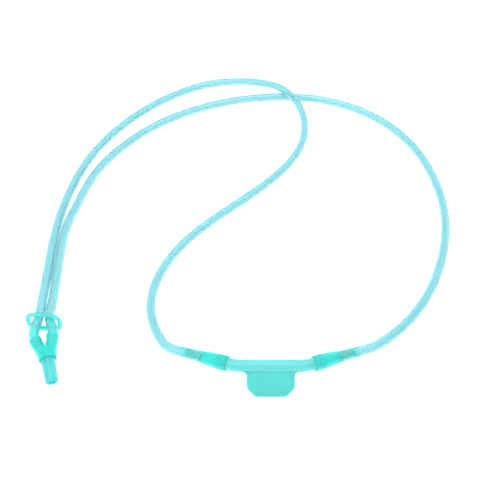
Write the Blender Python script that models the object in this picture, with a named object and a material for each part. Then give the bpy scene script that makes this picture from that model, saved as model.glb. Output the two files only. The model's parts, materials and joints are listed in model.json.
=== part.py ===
"""Nasal oxygen cannula headset: a soft nosepiece, its two tubes, the chin slider and the Y-connector.

Metres, +Z up, lying on the plane Z = 0. The origin is on that plane, under the middle of the fittings.
"""

import math

import bmesh
import bpy
import numpy as np
from mathutils import Matrix, Vector

# Clearances
JOINT_GAP = 0.0003
SLIDE_CLEARANCE = 0.0005

# Tubes
TUBE_OD = 0.0042
PAIR_GAP = 0.0003
CROSSING_GAP = 0.0004
TUBE_POINT_SPACING = 0.0084
CUFF_LEAD = 0.006
ARM_LEAD = 0.0006

# Nosepiece: a hollow bar, two hollow prongs and a flat lip tab, in one moulding
NOSE_PLACE = (0.0336, -0.0082)
BAR_HEIGHT = 0.0089
BAR_OD = 0.0049
BAR_STRAIGHT_HALF = 0.0110
BAR_END = (0.0171, 0.0011, -0.00025)
BAR_END_YAW = math.radians(22.0)
BAR_END_DIP = math.radians(10.5)
BAR_SHOULDER = 0.00035
BAR_NECK_OD = BAR_OD - 2 * BAR_SHOULDER
BAR_NECK_LENGTH = 0.0045
LUMEN_D = 0.0028
PRONG_SPACING = 0.0188
PRONG_BASE_OD = 0.0044
PRONG_TIP_OD = 0.0038
PRONG_BORE = 0.0025
PRONG_START_DIP = math.radians(56.0)
PRONG_END_DIP = math.radians(67.0)
TAB_WIDTH = 0.0190
TAB_THICKNESS = 0.0013
TAB_SLOPE = math.radians(43.0)
TAB_CORNER = 0.0034
TAB_CORNER_ROUND = 0.0009
TAB_ROOT_FILLET = 0.0018

# Cuffs: each joins an end of the bar to a tube, whose end is stretched over the cuff's tail
CUFF_WALL = 0.00075
CUFF_OD = BAR_NECK_OD + 2 * (JOINT_GAP + CUFF_WALL)
CUFF_BARREL = 0.0046
CUFF_STEP_DROPS = (0.0003, 0.0007, 0.0011)
CUFF_STEP_LENGTH = 0.0021
CUFF_TAIL = 0.0090
CUFF_TAIL_STRETCH = (0.0005, 0.0002)
CUFF_CHAMFER = 0.0004

# Chin slider: an oval ring that leans back and stands a little askew on the two tubes
RING_PLACE = (-0.0624, 0.0152)
RING_BAND = 0.0019
RING_TUBE_SPREAD = 0.0013
RING_SIDE_CLEARANCE = 0.0011
RING_SQUARENESS = 3.2
RING_LEAN = math.radians(16.0)
RING_YAW = math.radians(-6.0)
SLIDE_YAW = math.radians(4.3)
# Distances up the pair from the ring, each with the share of the ring's spread that is left there
PAIR_STATIONS = ((0.0440, 0.0), (0.0330, 0.0), (0.0220, 0.0), (0.0110, 0.22))

# Y-connector and the spigot in its foot
Y_PLACE = (-0.0570, -0.0026)
Y_YAW = math.radians(20.3)
Y_PITCH = math.radians(3.0)
ARM_WALL = 0.0003
ARM_OD = TUBE_OD + 2 * ARM_WALL
ARM_RIM = 0.00015
ARM_RIM_OD = ARM_OD + 2 * ARM_RIM
ARM_RIM_LENGTH = 0.0016
ARM_REACH = 0.0112
ARM_SPREAD = 0.0074
ARM_ROOT = -0.0010
ARM_ROOT_ANGLE = math.radians(16.0)
ARM_MOUTH_ANGLE = math.radians(12.0)
ARM_EASE = 0.0050
SPIGOT_SHANK_OD = 0.0050
BODY_WALL = 0.0010
BODY_OD = SPIGOT_SHANK_OD + 2 * BODY_WALL
BODY_LENGTH = 0.0046
COLLAR_STEP = 0.0001
COLLAR_OD = BODY_OD + 2 * COLLAR_STEP
COLLAR_LENGTH = 0.0016
SOCKET_DEPTH = 0.0050
SPIGOT_ROOT_OD = 0.0057
SPIGOT_TIP_OD = 0.0049
SPIGOT_LENGTH = 0.0104
SPIGOT_CHAMFER = 0.0006

# Resolution
ROUND_SIDES = 40
BORE_SIDES = 28
RING_STATIONS = 64
RING_SIDES = 16
TUBE_BEVEL_RESOLUTION = 4
ARM_STEPS = 10
# The arm's outer shape starts this many steps up, inside the body and clear of its foot.
ARM_BURIED = 2
MIRROR_MERGE = 0.000005

# Routes between the cuff and the paired run: X, Y, and the lift above the table
# as a share of the lift that carries one tube over the other.
LEFT_ROUTE = (
    (-0.0145, 0.0120, 0.22),
    (-0.0180, 0.0235, 0.02),
    (-0.0175, 0.0360, 0.0),
    (-0.0125, 0.0505, 0.0),
    (-0.0040, 0.0640, 0.0),
    (0.0095, 0.0785, 0.0),
    (0.0265, 0.0945, 0.0),
    (0.0430, 0.1125, 0.0),
    (0.0550, 0.1345, 0.02),
    (0.0565, 0.1595, 0.50),
    (0.0465, 0.1785, 1.0),
    (0.0280, 0.1900, 0.50),
    (0.0060, 0.1925, 0.02),
    (-0.0155, 0.1830, 0.0),
    (-0.0345, 0.1670, 0.0),
    (-0.0500, 0.1470, 0.0),
    (-0.0610, 0.1245, 0.0),
    (-0.0670, 0.1005, 0.0),
    (-0.0688, 0.0840, 0.05),
    (-0.0686, 0.0705, 0.36),
)
RIGHT_ROUTE = (
    (0.0840, 0.0085, 0.13),
    (0.0965, 0.0200, 0.0),
    (0.1075, 0.0350, 0.0),
    (0.1170, 0.0550, 0.0),
    (0.1230, 0.0785, 0.0),
    (0.1235, 0.1030, 0.0),
    (0.1185, 0.1275, 0.0),
    (0.1070, 0.1495, 0.0),
    (0.0885, 0.1665, 0.0),
    (0.0655, 0.1760, 0.0),
    (0.0405, 0.1780, 0.0),
    (0.0160, 0.1740, 0.0),
    (-0.0070, 0.1650, 0.0),
    (-0.0280, 0.1510, 0.0),
    (-0.0445, 0.1325, 0.0),
    (-0.0565, 0.1105, 0.0),
    (-0.0620, 0.0860, 0.05),
    (-0.0636, 0.0715, 0.36),
)

# Finishes: linear colour, roughness
SOFT_CLEAR = ((0.36, 0.80, 0.82, 1.0), 0.35)
SOFT_TEAL = ((0.12, 0.78, 0.74, 1.0), 0.35)
DEEP_TEAL = ((0.04, 0.74, 0.68, 1.0), 0.30)


def clear_scene():
    """Takes every object out of the open scene."""
    for obj in list(bpy.data.objects):
        bpy.data.objects.remove(obj, do_unlink=True)


def finish_material(name, finish):
    """Gives a Principled material for one piece."""
    colour, roughness = finish
    material = bpy.data.materials.new(name)
    material.use_nodes = True
    shader = material.node_tree.nodes["Principled BSDF"]
    shader.inputs["Base Color"].default_value = colour
    shader.inputs["Roughness"].default_value = roughness
    shader.inputs["Metallic"].default_value = 0.0
    return material


def add_object(name, data, parent=None, finish=None):
    """Links a new object. With no finish it is a helper that the render leaves out."""
    obj = bpy.data.objects.new(name, data)
    bpy.context.scene.collection.objects.link(obj)
    obj.parent = parent
    if finish is None:
        obj.hide_render = True
        obj.display_type = "WIRE"
    else:
        data.materials.append(finish_material(name, finish))
    return obj


def add_frame(name, location, rotation):
    """Adds an empty that holds a sub-assembly in place."""
    frame = bpy.data.objects.new(name, None)
    bpy.context.scene.collection.objects.link(frame)
    frame.matrix_world = Matrix.Translation(location) @ rotation
    return frame


def mesh_from(name, bm):
    """Turns a bmesh into a mesh, faces out and smooth where it is round."""
    bmesh.ops.recalc_face_normals(bm, faces=bm.faces)
    mesh = bpy.data.meshes.new(name)
    bm.to_mesh(mesh)
    bm.free()
    mesh.shade_smooth()
    mesh.set_sharp_from_angle(angle=math.radians(35.0))
    return mesh


def heading(yaw, dip=0.0):
    """The unit vector turned by yaw from +Y towards -X, then dipped below the horizontal."""
    level = math.cos(dip)
    return Vector((-math.sin(yaw) * level, math.cos(yaw) * level, -math.sin(dip)))


def swept_mesh(name, stations, reference, sides, closed=False):
    """Carries circles along (centre, direction, radius) stations. A closed sweep joins its ends."""
    bm = bmesh.new()
    rings = []
    for centre, direction, radius in stations:
        side = direction.cross(reference).normalized()
        up = side.cross(direction).normalized()
        ring = []
        for step in range(sides):
            angle = 2.0 * math.pi * step / sides
            offset = side * math.cos(angle) + up * math.sin(angle)
            ring.append(bm.verts.new(centre + offset * radius))
        rings.append(ring)
    followers = rings[1:] + rings[:1] if closed else rings[1:]
    for ring, following in zip(rings, followers):
        for step in range(sides):
            beside = (step + 1) % sides
            bm.faces.new((ring[step], ring[beside], following[beside], following[step]))
    if not closed:
        bm.faces.new(rings[0])
        bm.faces.new(rings[-1])
    return mesh_from(name, bm)


def turned_mesh(name, start, direction, profile, sides=ROUND_SIDES, closed=False):
    """Turns a (distance, radius) profile about a straight axis."""
    reference = Vector((0.0, 0.0, 1.0)) if abs(direction.z) < 0.8 else Vector((1.0, 0.0, 0.0))
    stations = [(start + direction * along, direction, radius) for along, radius in profile]
    return swept_mesh(name, stations, reference, sides, closed)


def combine(target, other, operation):
    """Adds or cuts one closed shape with another."""
    modifier = target.modifiers.new(other.name, "BOOLEAN")
    modifier.operation = operation
    modifier.object = other
    modifier.solver = "EXACT"


def bezier(points, share):
    """(place, direction) at a share of the way along a cubic through four control points."""
    rest = 1.0 - share
    place = (points[0] * rest**3 + points[1] * 3 * rest**2 * share
             + points[2] * 3 * rest * share**2 + points[3] * share**3)
    slope = ((points[1] - points[0]) * rest**2 + (points[2] - points[1]) * 2 * rest * share
             + (points[3] - points[2]) * share**2)
    return place, slope.normalized()


def cuff_axis(side):
    """(start, direction) of a cuff in the nosepiece's frame. side is -1 for left, 1 for right."""
    start = Vector((side * BAR_END[0], BAR_END[1], BAR_END[2]))
    away = heading(-side * (math.pi / 2 - BAR_END_YAW), BAR_END_DIP)
    return start, away


def bar_bend(side):
    """Control points of the bar's bend, from its straight middle to the cuff's mouth."""
    start = Vector((side * BAR_STRAIGHT_HALF, 0.0, 0.0))
    end, away = cuff_axis(side)
    ease = (end - start).length / 3.0
    return [start, start + Vector((side * ease, 0.0, 0.0)), end - away * ease, end]


def bar_stations(radius, neck_radius, neck_length, shoulder_gap):
    """Stations along the whole bar, from the tip of one neck to the tip of the other."""
    bend_steps = 7
    half = []
    for step in range(bend_steps + 1):
        place, direction = bezier(bar_bend(1), step / bend_steps)
        if step == bend_steps:
            place = place - direction * shoulder_gap
        half.append((place, direction, radius))
    shoulder, direction, _ = half[-1]
    if neck_radius != radius:
        half.append((shoulder, direction, neck_radius))
    half.append((shoulder + direction * (neck_length + shoulder_gap), direction, neck_radius))
    mirror = Vector((-1.0, 1.0, 1.0))
    other = [(place * mirror, direction * mirror * -1.0, size) for place, direction, size in half]
    return other[::-1] + half


def tab_outline():
    """(across, down) points of the lip tab: waisted root, straight sides, chamfered corners."""
    half = TAB_WIDTH / 2.0
    tip = tab_length()
    root = BAR_OD * 0.2
    side_start = BAR_OD / 2.0 + TAB_ROOT_FILLET
    points = [(half + TAB_ROOT_FILLET, root), (half + TAB_ROOT_FILLET, BAR_OD / 2.0 - 0.0002)]
    for step in range(1, 6):
        angle = math.radians(90.0 * step / 5)
        across = half + TAB_ROOT_FILLET * (1.0 - math.sin(angle))
        points.append((across, side_start - TAB_ROOT_FILLET * math.cos(angle)))
    corner = [Vector((half, tip - TAB_CORNER)), Vector((half - TAB_CORNER, tip))]
    entries = (Vector((half, tip - TAB_CORNER - TAB_CORNER_ROUND)),
               Vector((half - TAB_CORNER - TAB_CORNER_ROUND, tip)))
    chamfer = (corner[1] - corner[0]).normalized() * TAB_CORNER_ROUND
    arcs = ((entries[0], corner[0], corner[0] + chamfer), (corner[1] - chamfer, corner[1], entries[1]))
    for first, middle, last in arcs:
        for step in range(6):
            share = step / 5
            place = first * (1 - share)**2 + middle * 2 * share * (1 - share) + last * share**2
            points.append((place.x, place.y))
    return points + [(-across, down) for across, down in reversed(points)]


def tab_length():
    """How far down its slope the tab reaches, so that its lower edge meets the table."""
    return (BAR_HEIGHT - TAB_THICKNESS / 2 * math.cos(TAB_SLOPE)) / math.sin(TAB_SLOPE)


def tab_mesh():
    """The flat lip tab, sloping from the bar down to the table."""
    bm = bmesh.new()
    down = Vector((0.0, -math.cos(TAB_SLOPE), -math.sin(TAB_SLOPE)))
    upper = Vector((0.0, -math.sin(TAB_SLOPE), math.cos(TAB_SLOPE)))
    corners = []
    for across, along in tab_outline():
        place = Vector((across, 0.0, 0.0)) + down * along - upper * (TAB_THICKNESS / 2)
        corners.append(bm.verts.new(place))
    plate = bm.faces.new(corners)
    raised = bmesh.ops.extrude_face_region(bm, geom=[plate])
    moved = [item for item in raised["geom"] if isinstance(item, bmesh.types.BMVert)]
    bmesh.ops.translate(bm, verts=moved, vec=upper * TAB_THICKNESS)
    return mesh_from("tab_shape", bm)


def prong_control(side):
    """Control points of a prong, from the bar's axis to its tip, which touches the table."""
    start = Vector((side * PRONG_SPACING / 2, 0.0, 0.0))
    tip_height = PRONG_TIP_OD / 2 * math.cos(PRONG_END_DIP)
    drop = BAR_HEIGHT - tip_height
    ease = drop / 2.6
    first = start + heading(0.0, PRONG_START_DIP) * ease
    mean_dip = (PRONG_START_DIP + PRONG_END_DIP) / 2
    end = start + heading(0.0, mean_dip) * (drop / math.sin(mean_dip))
    return [start, first, end - heading(0.0, PRONG_END_DIP) * ease, end]


def prong_stations(side, base_radius, tip_radius, overrun=0.0):
    """Stations along a prong. overrun carries a cutter past the tip."""
    steps = 8
    stations = []
    for step in range(steps + 1):
        share = step / steps
        place, direction = bezier(prong_control(side), share)
        stations.append((place, direction, base_radius + (tip_radius - base_radius) * share))
    if overrun:
        place, direction, radius = stations.pop()
        stations.append((place + direction * overrun, direction, radius))
    return stations


def build_nosepiece(frame):
    """One moulding: the bent bar, the tab and the prongs, all bored."""
    level = Vector((0.0, 0.0, 1.0))
    across = Vector((1.0, 0.0, 0.0))
    overrun = 0.002
    stations = bar_stations(BAR_OD / 2, BAR_NECK_OD / 2, BAR_NECK_LENGTH, JOINT_GAP)
    nosepiece = add_object("nosepiece", swept_mesh("nosepiece", stations, level, ROUND_SIDES),
                           frame, SOFT_TEAL)
    combine(nosepiece, add_object("tab_shape", tab_mesh(), frame), "UNION")
    for side, label in ((-1, "left"), (1, "right")):
        stations = prong_stations(side, PRONG_BASE_OD / 2, PRONG_TIP_OD / 2)
        outer = swept_mesh(f"{label}_prong_shape", stations, across, ROUND_SIDES)
        combine(nosepiece, add_object(f"{label}_prong_shape", outer, frame), "UNION")
    stations = bar_stations(LUMEN_D / 2, LUMEN_D / 2, BAR_NECK_LENGTH + overrun, JOINT_GAP)
    lumen = swept_mesh("bar_lumen", stations, level, BORE_SIDES)
    combine(nosepiece, add_object("bar_lumen", lumen, frame), "DIFFERENCE")
    for side, label in ((-1, "left"), (1, "right")):
        stations = prong_stations(side, PRONG_BORE / 2, PRONG_BORE / 2, overrun)
        bore = swept_mesh(f"{label}_prong_bore", stations, across, BORE_SIDES)
        combine(nosepiece, add_object(f"{label}_prong_bore", bore, frame), "DIFFERENCE")
    return nosepiece


def cuff_length():
    """A cuff's whole length, from its mouth to its tail."""
    return CUFF_BARREL + CUFF_STEP_LENGTH * len(CUFF_STEP_DROPS) + CUFF_TAIL


def build_cuff(label, side, frame):
    """A sleeve over the bar's neck, three shallow steps, and a tail that carries the tube."""
    socket_radius = BAR_NECK_OD / 2 + JOINT_GAP
    socket_depth = BAR_NECK_LENGTH + JOINT_GAP
    bore_radius = LUMEN_D / 2
    radius = CUFF_OD / 2
    total = cuff_length()
    profile = [
        (total, bore_radius),
        (socket_depth, bore_radius),
        (socket_depth, socket_radius),
        (0.0, socket_radius),
        (0.0, radius - CUFF_CHAMFER),
        (CUFF_CHAMFER, radius),
        (CUFF_BARREL, radius),
    ]
    along = CUFF_BARREL
    for drop in CUFF_STEP_DROPS:
        profile.append((along, radius - drop / 2))
        along += CUFF_STEP_LENGTH
        profile.append((along, radius - drop / 2))
    profile.append((along, (TUBE_OD + CUFF_TAIL_STRETCH[0]) / 2))
    profile.append((total, (TUBE_OD + CUFF_TAIL_STRETCH[1]) / 2))
    start, direction = cuff_axis(side)
    name = f"{label}_cuff"
    mesh = turned_mesh(name, start, direction, profile, closed=True)
    return add_object(name, mesh, frame, DEEP_TEAL)


def ring_half_height():
    """Half the height of the ring's centre line, which clears a tube although the ring leans."""
    return (TUBE_OD + 2 * SLIDE_CLEARANCE + RING_BAND) / (2 * math.cos(RING_LEAN))


def ring_centre():
    """The middle of the ring, which stands on the table."""
    height = RING_BAND / 2 + ring_half_height() * math.cos(RING_LEAN)
    return Vector((RING_PLACE[0], RING_PLACE[1], height))


def ring_tube_offset():
    """How far each tube's centre is from the ring's, sideways."""
    return (TUBE_OD + RING_TUBE_SPREAD) / 2


def build_ring():
    """The chin slider. Its origin is on the line that it slides along."""
    half_width = ring_tube_offset() + TUBE_OD / 2 + RING_SIDE_CLEARANCE + RING_BAND / 2
    half_height = ring_half_height()
    angles = np.linspace(0.0, 2.0 * np.pi, RING_STATIONS, endpoint=False)
    power = RING_SQUARENESS
    reach = (np.abs(np.cos(angles) / half_width)**power
             + np.abs(np.sin(angles) / half_height)**power)**(-1.0 / power)
    line = np.stack([reach * np.cos(angles), 0.0 * angles, reach * np.sin(angles)], axis=1)
    slope = np.roll(line, -1, axis=0) - np.roll(line, 1, axis=0)
    stations = [(Vector(place), Vector(way).normalized(), RING_BAND / 2)
                for place, way in zip(line, slope)]
    mesh = swept_mesh("slider_ring", stations, Vector((0.0, 1.0, 0.0)), RING_SIDES, closed=True)
    ring = add_object("slider_ring", mesh, None, DEEP_TEAL)
    turn = Matrix.Rotation(RING_YAW, 4, "Z") @ Matrix.Rotation(-RING_LEAN, 4, "X")
    ring.matrix_world = Matrix.Translation(ring_centre()) @ turn
    return ring


def arm_control(side):
    """Control points of an arm of the Y, from inside its body to its mouth."""
    root = Vector((0.0, ARM_ROOT, 0.0))
    mouth = Vector((side * ARM_SPREAD / 2, ARM_REACH, 0.0))
    out = heading(-side * ARM_ROOT_ANGLE)
    end = heading(-side * ARM_MOUTH_ANGLE)
    return [root, root + out * ARM_EASE, mouth - end * ARM_EASE, mouth]


def arm_stations(radius, overrun=0.0):
    """Stations along the right arm. overrun carries a cutter past the mouth."""
    stations = []
    for step in range(ARM_STEPS + 1):
        place, direction = bezier(arm_control(1), step / ARM_STEPS)
        stations.append((place, direction, radius))
    if overrun:
        place, direction, _ = stations.pop()
        stations.append((place + direction * overrun, direction, radius))
    return stations


def build_y_connector(frame):
    """A round body, collared at its foot, that splits into two arms: the right half, and its mirror image."""
    level = Vector((0.0, 0.0, 1.0))
    along = Vector((0.0, 1.0, 0.0))
    middle = Vector((0.0, 0.0, 0.0))
    overrun = 0.002
    rounding = 0.0012
    body_radius = BODY_OD / 2
    body = [
        (0.0, COLLAR_OD / 2),
        (COLLAR_LENGTH, COLLAR_OD / 2),
        (COLLAR_LENGTH, body_radius),
        (BODY_LENGTH, body_radius),
        (BODY_LENGTH + rounding * 0.7, body_radius - rounding * 0.3),
        (BODY_LENGTH + rounding, body_radius - rounding),
    ]
    connector = add_object("y_connector", turned_mesh("y_connector", middle, along, body),
                           frame, DEEP_TEAL)
    arm = swept_mesh("arm_shape", arm_stations(ARM_OD / 2)[ARM_BURIED:], level, ROUND_SIDES)
    combine(connector, add_object("arm_shape", arm, frame), "UNION")
    mouth, out = bezier(arm_control(1), 1.0)
    rim = turned_mesh("rim_shape", mouth, out, [(-ARM_RIM_LENGTH, ARM_RIM_OD / 2), (0.0, ARM_RIM_OD / 2)])
    combine(connector, add_object("rim_shape", rim, frame), "UNION")
    bore = swept_mesh("arm_bore", arm_stations(LUMEN_D / 2, overrun), level, BORE_SIDES)
    combine(connector, add_object("arm_bore", bore, frame), "DIFFERENCE")
    socket_radius = SPIGOT_SHANK_OD / 2 + JOINT_GAP
    socket = turned_mesh("spigot_socket", middle, along,
                         [(-overrun, socket_radius), (SOCKET_DEPTH, socket_radius)])
    combine(connector, add_object("spigot_socket", socket, frame), "DIFFERENCE")
    halves = connector.modifiers.new("both_arms", "MIRROR")
    halves.use_bisect_axis[0] = True
    halves.bisect_threshold = MIRROR_MERGE
    halves.merge_threshold = MIRROR_MERGE
    return connector


def build_spigot(frame):
    """A bored, tapered stub: its shank is in the Y's foot and the supply tubing goes over it."""
    tip_radius = SPIGOT_TIP_OD / 2
    shank_end = -(SOCKET_DEPTH - JOINT_GAP)
    shank_radius = SPIGOT_SHANK_OD / 2
    profile = [
        (shank_end, LUMEN_D / 2),
        (shank_end, shank_radius),
        (JOINT_GAP, shank_radius),
        (JOINT_GAP, SPIGOT_ROOT_OD / 2),
        (SPIGOT_LENGTH - SPIGOT_CHAMFER, tip_radius),
        (SPIGOT_LENGTH, tip_radius - SPIGOT_CHAMFER),
        (SPIGOT_LENGTH, LUMEN_D / 2),
    ]
    mesh = turned_mesh("supply_spigot", Vector((0.0, 0.0, 0.0)), Vector((0.0, -1.0, 0.0)),
                       profile, closed=True)
    return add_object("supply_spigot", mesh, frame, SOFT_TEAL)


def smooth_line(points, spacing):
    """Steps along a natural cubic spline, by chord length, through every one of the points."""
    points = np.array([tuple(point) for point in points])
    chords = np.linalg.norm(np.diff(points, axis=0), axis=1)
    count = len(points)
    system = np.eye(count)
    right = np.zeros((count, 3))
    for index in range(1, count - 1):
        before, after = chords[index - 1], chords[index]
        system[index, index - 1:index + 2] = (before, 2.0 * (before + after), after)
        right[index] = 6.0 * ((points[index + 1] - points[index]) / after
                              - (points[index] - points[index - 1]) / before)
    bends = np.linalg.solve(system, right)
    line = [points[0]]
    for index, width in enumerate(chords):
        steps = max(1, round(width / spacing))
        for step in range(1, steps + 1):
            passed = width * step / steps
            left = width - passed
            line.append((bends[index] * left**3 + bends[index + 1] * passed**3) / (6.0 * width)
                        + (points[index] / width - bends[index] * width / 6.0) * left
                        + (points[index + 1] / width - bends[index + 1] * width / 6.0) * passed)
    return np.array(line)


def tube_route(side, nose_frame, y_frame, free_route):
    """A tube's points: out of its cuff, along its free route, beside its twin, and into the Y."""
    rest = TUBE_OD / 2
    start, away = cuff_axis(side)
    tail = start + away * (cuff_length() + JOINT_GAP)
    points = [nose_frame @ tail, nose_frame @ (tail + away * CUFF_LEAD)]
    for across, along, share in free_route:
        points.append(Vector((across, along, rest + share * (TUBE_OD + CROSSING_GAP))))
    slide = heading(SLIDE_YAW)
    beside = Vector((slide.y, -slide.x, 0.0)) * side
    half_pair = (TUBE_OD + PAIR_GAP) / 2
    for station, spread in PAIR_STATIONS:
        offset = half_pair + (ring_tube_offset() - half_pair) * spread
        points.append(ring_centre() + slide * station + beside * offset)
    points.append(ring_centre() + beside * ring_tube_offset())
    mouth, out = bezier(arm_control(side), 1.0)
    points.append(y_frame @ (mouth + out * (JOINT_GAP + ARM_LEAD)))
    points.append(y_frame @ (mouth + out * JOINT_GAP))
    return points


def build_tube(label, points):
    """A free tube that lies on the table, as one filled curve."""
    name = f"{label}_tube"
    line = smooth_line(points, TUBE_POINT_SPACING)
    line[:, 2] = np.maximum(line[:, 2], TUBE_OD / 2)
    curve = bpy.data.curves.new(name, "CURVE")
    curve.dimensions = "3D"
    curve.bevel_depth = TUBE_OD / 2
    curve.bevel_resolution = TUBE_BEVEL_RESOLUTION
    curve.use_fill_caps = True
    spline = curve.splines.new("POLY")
    spline.points.add(len(line) - 1)
    for point, place in zip(spline.points, line):
        point.co = (*place, 1.0)
    return add_object(name, curve, None, SOFT_CLEAR)


def main():
    clear_scene()
    nose_frame = add_frame("nose_frame", Vector((*NOSE_PLACE, BAR_HEIGHT)), Matrix.Identity(4))
    turn = Matrix.Rotation(Y_YAW, 4, "Z") @ Matrix.Rotation(Y_PITCH, 4, "X")
    y_frame = add_frame("y_frame", Vector((*Y_PLACE, COLLAR_OD / 2)), turn)
    bpy.context.view_layer.update()
    build_nosepiece(nose_frame)
    build_y_connector(y_frame)
    build_spigot(y_frame)
    build_ring()
    routes = (("left", -1, LEFT_ROUTE), ("right", 1, RIGHT_ROUTE))
    for label, side, free_route in routes:
        build_cuff(label, side, nose_frame)
        points = tube_route(side, nose_frame.matrix_world, y_frame.matrix_world, free_route)
        build_tube(label, points)


main()
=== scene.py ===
"""Nasal oxygen cannula headset: a soft nosepiece, its two looped tubes and their fittings, as they look.

Everything is in metres, +Z up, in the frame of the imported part. Each sub-assembly is a class. Its places
come from the part's mounts, boxes and joints, and its sizes are its own fields.
"""

import json
import logging
import math
from collections.abc import Callable
from dataclasses import dataclass, field
from enum import Enum

import bpy
import numpy as np
from mathutils import Matrix, Vector


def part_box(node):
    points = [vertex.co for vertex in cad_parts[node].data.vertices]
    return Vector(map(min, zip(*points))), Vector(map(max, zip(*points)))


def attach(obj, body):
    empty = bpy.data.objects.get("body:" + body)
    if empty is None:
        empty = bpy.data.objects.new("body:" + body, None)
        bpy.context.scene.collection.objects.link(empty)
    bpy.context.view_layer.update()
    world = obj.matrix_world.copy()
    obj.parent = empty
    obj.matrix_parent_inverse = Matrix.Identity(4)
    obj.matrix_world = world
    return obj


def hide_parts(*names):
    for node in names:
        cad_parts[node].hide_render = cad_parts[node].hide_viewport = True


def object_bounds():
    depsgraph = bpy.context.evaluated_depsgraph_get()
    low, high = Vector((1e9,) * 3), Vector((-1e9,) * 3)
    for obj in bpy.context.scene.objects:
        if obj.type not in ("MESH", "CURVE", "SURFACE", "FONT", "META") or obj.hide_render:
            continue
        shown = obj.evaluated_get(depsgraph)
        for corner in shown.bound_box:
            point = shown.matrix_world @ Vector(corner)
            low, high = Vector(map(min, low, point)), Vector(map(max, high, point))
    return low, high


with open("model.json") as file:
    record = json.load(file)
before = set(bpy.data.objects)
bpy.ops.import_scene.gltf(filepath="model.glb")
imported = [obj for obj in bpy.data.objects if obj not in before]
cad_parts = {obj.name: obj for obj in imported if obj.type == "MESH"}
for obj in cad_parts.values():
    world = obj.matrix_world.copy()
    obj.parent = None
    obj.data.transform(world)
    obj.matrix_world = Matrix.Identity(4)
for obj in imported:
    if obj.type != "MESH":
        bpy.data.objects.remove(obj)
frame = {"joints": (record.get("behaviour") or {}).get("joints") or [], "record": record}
CAD_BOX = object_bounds()

log = logging.getLogger("cannula")

MM = 0.001
CURVE_STEPS = 15  # points along the curve of a bar's end, a prong or an arm
POINTS_AT_ONCE = 200_000  # distances are worked out for this many points at a time
SAME_POINT = 1e-7  # outline points nearer than this are one
VINYL_IOR = 1.53
NOISE_RANGE = (0.3, 0.7)  # where most of a noise texture's values lie
SKIN = "skin"  # attribute on a tube: cosine and sine round it, and the distance along it
# On the nosepiece this share is painted shade on the tab and the bar's lower edge; its pale bar is a painted
# highlight.
TINT_AND_PAINTED_LIGHT = "tint_and_painted_light"  # attribute on every piece: the share of its finish's deep colour, from 0 to 1


class Side(Enum):
    """The wearer's side as the part lies: left is towards -X."""

    LEFT = -1
    RIGHT = 1

    @property
    def label(self) -> str:
        """The side's name as it starts a node's name."""
        return self.name.lower()


# --------------------------------------------------------------------------- lines and surfaces


def unit(vector: np.ndarray) -> np.ndarray:
    """The vector, or each row of an array of them, at length one."""
    return vector / np.linalg.norm(vector, axis=-1, keepdims=True)


def heading(yaw: float, dip: float = 0.0) -> np.ndarray:
    """The unit vector turned by yaw from +Y towards -X, then dipped below the horizontal."""
    return np.array([-math.sin(yaw) * math.cos(dip), math.cos(yaw) * math.cos(dip), -math.sin(dip)])


def bezier(control: np.ndarray, shares: np.ndarray) -> np.ndarray:
    """Points of a cubic through four control points.

    Formula: the controls weighted by r^3, 3 r^2 s, 3 r s^2 and s^3, where s is the share and r is 1 - s.

    Args:
        control: The four control points, one a row.
        shares: How far along each point is, from 0 to 1.

    Returns:
        One point a row.
    """
    rest = 1.0 - shares
    weights = np.stack([rest**3, 3 * rest**2 * shares, 3 * rest * shares**2, shares**3], axis=1)
    return weights @ control


def smooth_line(points: np.ndarray, spacing: float) -> np.ndarray:
    """Even steps along the natural cubic spline, by chord length, through every one of the points.

    Formula: on each chord the bend changes evenly from one end's to the other's, and the bends are the
    solution of the linear system that makes the slopes meet at every point.

    Args:
        points: The points to pass through, one a row.
        spacing: The distance between two steps.

    Returns:
        The line's points, one a row.
    """
    chords = np.linalg.norm(np.diff(points, axis=0), axis=1)
    ends = np.concatenate([[0.0], np.cumsum(chords)])
    before, after = chords[:-1], chords[1:]
    inner = np.arange(1, len(points) - 1)
    system = np.eye(len(points))
    system[inner, inner - 1] = before
    system[inner, inner] = 2.0 * (before + after)
    system[inner, inner + 1] = after
    right = np.zeros_like(points)
    slopes = np.diff(points, axis=0) / chords[:, None]
    right[1:-1] = 6.0 * np.diff(slopes, axis=0)
    bends = np.linalg.solve(system, right)
    along = np.linspace(0.0, ends[-1], round(ends[-1] / spacing) + 1)
    index = np.clip(np.searchsorted(ends, along, side="right") - 1, 0, len(chords) - 1)
    width = chords[index][:, None]
    passed = (along - ends[index])[:, None]
    left = width - passed
    return ((bends[index] * left**3 + bends[index + 1] * passed**3) / (6.0 * width)
            + (points[index] / width - bends[index] * width / 6.0) * left
            + (points[index + 1] / width - bends[index + 1] * width / 6.0) * passed)


def rounded(corners: list[tuple[float, float, float]], steps: int = 6) -> np.ndarray:
    """A closed (along, radius) outline with its corners eased.

    Formula: each corner gives way to a quadratic curve that starts and ends its easing away from it.

    Args:
        corners: Along, radius and easing of each corner, in order.
        steps: Points on an eased corner.

    Returns:
        The outline's points, one a row.
    """
    table = np.array(corners)
    place, ease = table[:, :2], table[:, 2:]
    entry = place + unit(np.roll(place, 1, axis=0) - place) * ease
    leave = place + unit(np.roll(place, -1, axis=0) - place) * ease
    share = np.linspace(0.0, 1.0, steps)[None, :, None]
    curve = (entry[:, None] * (1 - share)**2 + place[:, None] * 2 * share * (1 - share)
             + leave[:, None] * share**2)
    outline = curve.reshape(-1, 2)
    apart = np.linalg.norm(outline - np.roll(outline, 1, axis=0), axis=1) > SAME_POINT
    return outline[apart]


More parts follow.
